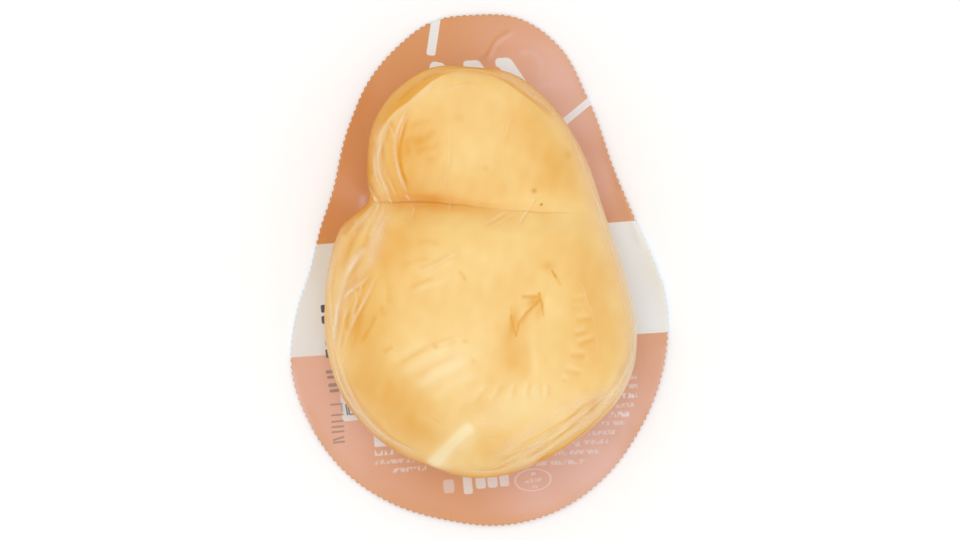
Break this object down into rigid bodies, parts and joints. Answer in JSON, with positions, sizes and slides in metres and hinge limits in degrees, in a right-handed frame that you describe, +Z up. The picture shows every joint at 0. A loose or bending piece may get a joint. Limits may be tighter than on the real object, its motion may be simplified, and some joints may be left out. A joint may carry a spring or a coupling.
{
  "type": "smoked scamorza in a vacuum pack",
  "caption": "Two-lobed smoked scamorza under tight clear film on a flat printed film with a pinked pear-shaped edge, lying cheese side up.",
  "frame": {"origin": "middle of the pack's bounding box, on the plane of the printed film's outer face", "axes": "+Y towards the cheese's small head, +X to the right seen from above, +Z up out of the cheese side"},
  "size_m": [0.106, 0.1434, 0.0465],
  "materials": {
    "printed_film": "salmon print with a white band, under glossy clear film",
    "cheese_in_clear_film": "glossy clear film drawn tight over pale amber smoked cheese"
  },
  "bodies": {
    "root": {"printed_film": "printed_film", "cheese_in_clear_film": "cheese_in_clear_film"}
  },
  "joints": []
}
